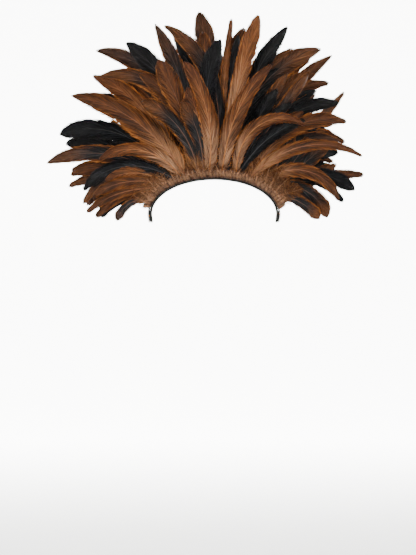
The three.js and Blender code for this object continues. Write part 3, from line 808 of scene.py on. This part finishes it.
# Soft hairs standing off a surface, each bent its own way
def hairTree():
    tree, given = newGeometryTree("downHairs", {
        "Density": 200000.0, "Length": 0.005, "Width": 0.0002, "Spread": 0.8, "Bend": 0.003, "Steps": 5,
        "Seed": 0, "Material": None})
    seed = given["Seed"]
    rooted = addNode(tree, "GeometryNodeDistributePointsOnFaces", {
        "Mesh": given[0], "Density": given["Density"], "Seed": seed}).outputs
    index = geometry(tree, "InputIndex")
    hair = geometry(tree, "CurvePrimitiveLine", {"End": (0.0, 0.0, 1.0)})
    hair = geometry(tree, "ResampleCurve", {"Curve": hair, "Count": given["Steps"]})
    share = randomValue(tree, 0.35, 1.0, index, seed, 2.0)
    hairs = geometry(tree, "InstanceOnPoints", {
        "Points": rooted[0], "Instance": hair, "Rotation": rooted[2],
        "Scale": times(tree, given["Length"], share)})
    lean = vector(tree, *(times(tree, given["Spread"], randomValue(tree, -1.0, 1.0, index, seed, shift))
                          for shift in (3.0, 4.0)))
    hairs = geometry(tree, "RotateInstances", {"Instances": hairs, "Rotation": lean})
    tone = randomValue(tree, 0.0, 1.0, index, seed, 5.0)
    hairs = storeTone(tree, hairs, tone)
    hairs = geometry(tree, "RealizeInstances", {0: hairs})
    reach = addNode(tree, "GeometryNodeSplineParameter").outputs["Factor"]
    tonePoint = geometry(tree, "InputNamedAttribute", {"Name": "barbTone"}, data_type="FLOAT")
    where = geometry(tree, "InputPosition")
    waves = {"Vector": where, "W": times(tree, tonePoint, 9.0), "Scale": 90.0, "Detail": 1.0}
    drift = addNode(tree, "ShaderNodeTexNoise", waves, noise_dimensions="4D").outputs[1]
    middle = {0: drift, 1: (0.5, 0.5, 0.5)}
    drift = addNode(tree, "ShaderNodeVectorMath", middle, operation="SUBTRACT").outputs[0]
    bend = times(tree, times(tree, reach, reach), given["Bend"])
    drift = addNode(tree, "ShaderNodeVectorMath", {0: drift, "Scale": bend}, operation="SCALE").outputs[0]
    hairs = geometry(tree, "SetPosition", {"Geometry": hairs, "Offset": drift})
    taper = remap(tree, reach, 0.2, 1.0, 1.0, 0.15, smooth=False)
    ring = geometry(tree, "CurvePrimitiveCircle", {"Resolution": 3, "Radius": 1.0})
    body = geometry(tree, "CurveToMesh", {
        "Curve": hairs, "Profile Curve": ring, "Scale": times(tree, taper, given["Width"]),
        "Fill Caps": True})
    endTree(tree, body, given["Material"])
    return tree


def buildRoll(material, hairs):
    turns = np.linspace(-roll["end"], roll["end"], roll["stations"])
    path = pathMesh("rollPath", [[rollPoint(turn) for turn in turns]])
    body = growMesh(rollTree(), path, {**roll, "material": material})
    fuzz = growMesh(hairs, body, {**rollHairs, "material": material})
    mesh = joinParts("down_roll_bound", [readMesh(body), readMesh(fuzz)], [material])
    addPiece("down_roll_bound", mesh, ["down_roll"])
    print("roll", len(body.polygons), "faces and", len(fuzz.polygons), "in its fuzz")


# Small downy plumes over the feet of the feathers at the rear. Each patch is a stretch of the arch with how
# many plumes stand in it and how long they are.
plumes = {
    "patches": [(-77, -46, 15, 0.024), (-46, -22, 5, 0.014), (-22, 34, 15, 0.009), (34, 58, 12, 0.027),
                (58, 76, 11, 0.028)],
    "width": 0.42, "foot": 0.0035, "depth": -0.0035, "lean": 22.0, "vary": (0.6, 1.15),
    "seed": 30,
}
plumeBarbs = {
    "pitch": 0.0008, "sweep": 1.7, "ragged": 0.5, "split": 1.2, "locks": 40.0, "barbWidth": 0.0005,
    "loose": True, "flatness": 0.5, "steps": 6, "lift": 0.0016, "downReach": 1.3, "downWave": 0.003,
    "turn": 0.5,
}


# Moves a fan blade's edges off its ridge, so that its cup stays on one side
fanEdgeShift = 0.06


# A blade that stands out from the roll like the spokes of a fan
def fanBlade(generator, turn, length, look):
    root = np.array(rollPoint(turn, look["foot"], look["depth"] + generator.uniform(-0.002, 0.001)))
    outward = np.array(rollPoint(turn, 0.02)) - np.array(rollPoint(turn))
    outward /= np.linalg.norm(outward)
    around = np.array([outward[2], 0, -outward[0]])
    lean = math.radians(generator.uniform(-1, 1) * look["lean"])
    curl = generator.uniform(-0.5, 0.5)
    back = generator.uniform(0.0, 0.22) * np.sign(-look["depth"])
    at = np.linspace(0, 1, 10)[:, None]
    heading = outward * math.cos(lean) + around * math.sin(lean)
    ridge = root + length * (at * heading + at**2 * (0.3 * curl * around - back * np.array([0, 1, 0])))
    ahead = np.gradient(ridge, axis=0)
    side = np.cross(ahead, [0, 1, 0])
    side /= np.linalg.norm(side, axis=1, keepdims=True)
    half = length * look["width"] * np.sin(math.pi * np.clip(0.2 + 0.78 * at, 0, 1)) ** 0.7
    normal = np.cross(side, ahead) / np.linalg.norm(ahead, axis=1, keepdims=True)
    edge = ridge + fanEdgeShift * half * normal
    return {"at": at[:, 0], "ridge": ridge, "left": edge + side * half, "right": edge - side * half}


def buildPlumes():
    generator = np.random.default_rng(plumes["seed"])
    parts = []
    for start, end, count, length in plumes["patches"]:
        for number in range(count):
            turn = start + (end - start) * (number + generator.uniform(0, 1)) / count
            blade = fanBlade(generator, turn, length * generator.uniform(*plumes["vary"]), plumes)
            parts += featherParts(blade, "down", 120 + len(parts), plumeBarbs)
    mesh = joinParts("down_plumes", parts, [vanes["down"], quills["down"]])
    addPiece("down_plumes", mesh)
    print("plumes, triangles", countTriangles(mesh))


# Short dark feathers on the wearer's front side, which close the gaps between the others' feet
inner = {
    "count": 27, "end": 72.0, "least": 0.066, "more": 0.062, "width": 0.13, "foot": 0.002, "depth": 0.014,
    "lean": 7.0, "pitch": 0.0024, "vary": (0.85, 1.1), "palest": 0.3, "seed": 51,
}


def buildInner():
    generator = np.random.default_rng(inner["seed"])
    parts = []
    for number, turn in enumerate(np.linspace(-inner["end"], inner["end"], inner["count"])):
        length = inner["least"] + inner["more"] * math.cos(math.radians(turn))
        blade = fanBlade(generator, turn, length * generator.uniform(*inner["vary"]), inner)
        parts += featherParts(blade, "dark", 400 + number, {**barbs, "pitch": inner["pitch"]},
                              tone=generator.uniform(0, inner["palest"]))
    mesh = joinParts("inner_feathers", parts, [vanes["dark"], quills["dark"]])
    addPiece("inner_feathers", mesh)
    print("inner feathers, triangles", countTriangles(mesh))


# Folded edge of cloth on the band, which the roll is sewn against
welt = {"from": 0.0047, "to": 0.0066, "height": 0.0044, "sunk": 0.0002, "end": 79.0, "stations": 90}


def buildWelt(cloth):
    middle = roll["radius"] - arch["bandWidth"] / 2 - arch["clearance"]
    low = arch["bandWall"] - welt["sunk"]
    corners = [(0.0, welt["from"]), (welt["height"], welt["from"]), (welt["height"], welt["to"]),
               (0.0, welt["to"])]
    turns = np.linspace(-welt["end"], welt["end"], welt["stations"])
    rings = [[archPoint(turn, low + raised, middle + depth) for raised, depth in corners]
             for turn in turns]
    addPiece("cloth_welt", joinParts("cloth_welt", [ringPart(rings[::-1])], [cloth]))
    print("welt")


buildRoll(downMaterial("bound_down", downLook), hairTree())
buildWelt(bandMaterial("welt_cloth", bandLook))
buildPlumes()
buildInner()


# Seed beads in rows along the front edge, spreading over the legs

beads = {
    "radius": 0.00098, "pitch": 0.00192, "row": 0.0019, "edge": 0.0008, "strip": 0.007,
    "spreadFrom": 82.0, "spreadTo": 89.0, "backing": 0.0006, "squash": 0.78, "clear": 0.9, "jitter": 0.12,
    "seed": 3,
}
# how far down the leg, and how wide it is there
legSections = [(0.0, 1.0), (0.45, 0.96), (0.75, 0.8), (0.93, 0.56)]


def beadStations():
    leg = [(90.0, down * arch["legLength"], width) for down, width in legSections]
    over = [(turn, 0.0, 1.0) for turn in np.linspace(-89.0, 89.0, 120)]
    return [(-turn, down, width) for turn, down, width in leg[::-1]] + over + leg


def beadEdges(turn, width):
    half = arch["bandWidth"] / 2 - beads["edge"]
    share = min(1, max(0, (abs(turn) - beads["spreadFrom"]) / (beads["spreadTo"] - beads["spreadFrom"])))
    widening = share * share * (3 - 2 * share)
    rear = (1 - widening) * (half - beads["strip"]) - widening * half
    return rear * width, half * width


def beadTree():
    tree, given = newGeometryTree("seedBeads", {
        "Pitch": 0.002, "Radius": 0.001, "Jitter": 0.1, "Seed": 0, "Material": None})
    rows = geometry(tree, "MeshToCurve", {0: given[0]})
    stops = curveStops(tree, rows, given["Pitch"])
    bead = geometry(tree, "MeshUVSphere", {"Segments": 8, "Rings": 5, "Radius": given["Radius"]})
    bead = geometry(tree, "Transform", {"Geometry": bead, "Scale": (1.0, 1.0, beads["squash"])})
    index = geometry(tree, "InputIndex")
    seed = given["Seed"]
    turned = addNode(tree, "FunctionNodeRandomValue", {
        0: (-0.3, -0.3, 0.0), 1: (0.3, 0.3, 3.0), 7: index, 8: seed}, data_type="FLOAT_VECTOR").outputs[0]
    less = times(tree, given["Jitter"], randomValue(tree, 0.0, 1.0, index, seed, 2.0))
    placed = geometry(tree, "InstanceOnPoints", {
        "Points": stops[0], "Instance": bead, "Rotation": stops[3],
        "Scale": maths(tree, "SUBTRACT", 1.0, less)})
    placed = geometry(tree, "RotateInstances", {"Instances": placed, "Rotation": turned})
    tone = randomValue(tree, 0.0, 1.0, index, seed, 7.0)
    placed = storeTone(tree, placed, tone)
    endTree(tree, placed, given["Material"])
    return tree


def buildBeads(material, cloth):
    low = arch["bandWall"] + arch["clearance"]
    middle = low + beads["backing"] + beads["radius"] * beads["squash"]
    stations = beadStations()
    deepest = arch["bandWidth"] / 2 - beads["edge"] - beads["radius"]
    clear = beads["radius"] * beads["clear"]
    paths = []
    for row in range(int(2 * deepest / beads["row"]) + 1):
        depth = deepest - row * beads["row"]
        run = []
        for turn, fall, width in stations:
            rear, front = beadEdges(turn, width)
            if rear + clear <= depth <= front - clear:
                run.append(archPoint(turn, middle, depth, fall))
            else:
                paths.append(run)
                run = []
        paths.append(run)
    paths = [path for path in paths if len(path) > 1]
    grown = growMesh(beadTree(), pathMesh("beadRows", paths), {**beads, "material": material})
    rings = []
    for turn, fall, width in stations:
        rear, front = beadEdges(turn, width)
        rings.append([archPoint(turn, low + raised, depth, fall) for raised, depth in (
            (0.0, rear), (beads["backing"], rear), (beads["backing"], front), (0.0, front))])
    backing = {**ringPart(rings[::-1]), "slot": 1}
    mesh = joinParts("bead_trim_strung", [readMesh(grown), backing], [material, cloth])
    addPiece("bead_trim_strung", mesh, ["bead_trim"])
    print("beads", len(grown.polygons) // 40, "triangles", countTriangles(mesh))


buildBeads(beadMaterial("seed_beads", beadLook), bandMaterial("bead_backing", bandLook))


# Floor, backdrop, lights and camera

studio = {
    "floor": -0.62, "radius": 3.4, "bend": 0.9, "height": 3.6, "colour": (0.90, 0.90, 0.89),
    "mottle": 0.985, "glow": 7.5, "nearGlow": 0.04, "glowFromTo": (0.6, 2.6), "sides": 64, "bendSteps": 10,
}
cameraPlace = {"place": (-0.008, -1.9, -0.129), "view": 0.733}


# A round room of white paper, lit from within on the side behind the headdress
def buildStage():
    material, tree, surface = newMaterial("paper_room")
    place = objectPlace(tree)
    grain = noise(tree, place, 3.0, 2.0)
    near = tuple(studio["mottle"] * part for part in studio["colour"])
    depth = addNode(tree, "ShaderNodeSeparateXYZ", {0: place}).outputs[1]
    glow = remap(tree, depth, *studio["glowFromTo"], studio["nearGlow"], studio["glow"])
    setInputs(surface, {"Base Color": blendColours(tree, grain, near, studio["colour"]), "Roughness": 0.9,
                        "Emission Color": studio["colour"], "Emission Strength": glow})
    profile = [(0.0, 0.0), (1.2, 0.0), (studio["radius"] - studio["bend"], 0.0)]
    for step in range(1, studio["bendSteps"] + 1):
        angle = step / studio["bendSteps"] * math.pi / 2
        profile.append((studio["radius"] - studio["bend"] * (1 - math.sin(angle)),
                        studio["bend"] * (1 - math.cos(angle))))
    profile.append((studio["radius"], studio["height"]))
    count = studio["sides"]
    turns = [2 * math.pi * step / count for step in range(count)]
    spots = [(0, 0, studio["floor"])]
    spots += [(reach * math.cos(turn), reach * math.sin(turn), studio["floor"] + rise)
              for reach, rise in profile[1:] for turn in turns]
    faces = [(0, 1 + i, 1 + (i + 1) % count) for i in range(count)]
    for ring in range(len(profile) - 2):
        first, second = 1 + ring * count, 1 + (ring + 1) * count
        faces += [(first + i, second + i, second + (i + 1) % count, first + (i + 1) % count)
                  for i in range(count)]
    mesh = bpy.data.meshes.new("paper_room")
    mesh.from_pydata(spots, [], faces)
    mesh.polygons.foreach_set("use_smooth", [True] * len(faces))
    mesh.materials.append(material)
    addObject("paper_room", mesh)


softboxes = {
    "keyLight": {"place": (-1.1, -1.6, 1.5), "target": (0, 0, 0.05), "size": 0.8, "power": 35},
    "fillLight": {"place": (1.7, -1.5, 0.6), "target": (0, 0, 0.05), "size": 1.4, "power": 5},
    "sideLightLeft": {"place": (-1.9, 0.1, 0.9), "target": (0.2, 0.2, 0.0), "size": 1.2, "power": 16},
    "sideLightRight": {"place": (1.9, 0.1, 0.9), "target": (-0.2, 0.2, 0.0), "size": 1.2, "power": 12},
}
worldStrength = 0.1


def addSoftbox(name, place, target, size, power):
    light = bpy.data.lights.new(name, "AREA")
    light.shape = "DISK"
    light.size = size
    light.energy = power
    box = addObject(name, light)
    box.location = place
    box.rotation_euler = (Vector(target) - Vector(place)).to_track_quat("-Z", "Y").to_euler()


def addCamera():
    lens = bpy.data.cameras.new("view")
    lens.sensor_fit = "VERTICAL"
    lens.sensor_height = 36.0
    lens.lens = lens.sensor_height * abs(cameraPlace["place"][1]) / cameraPlace["view"]
    camera = addObject("view", lens)
    camera.location = cameraPlace["place"]
    camera.rotation_euler = (math.radians(90), 0, 0)
    bpy.context.scene.camera = camera


buildStage()
for lightName, values in softboxes.items():
    addSoftbox(lightName, **values)
addCamera()
world = bpy.data.worlds.new("softDay")
world.use_nodes = True
setInputs(world.node_tree.nodes["Background"], {"Color": (1, 1, 1), "Strength": worldStrength})
bpy.context.scene.world = world
print("stage")
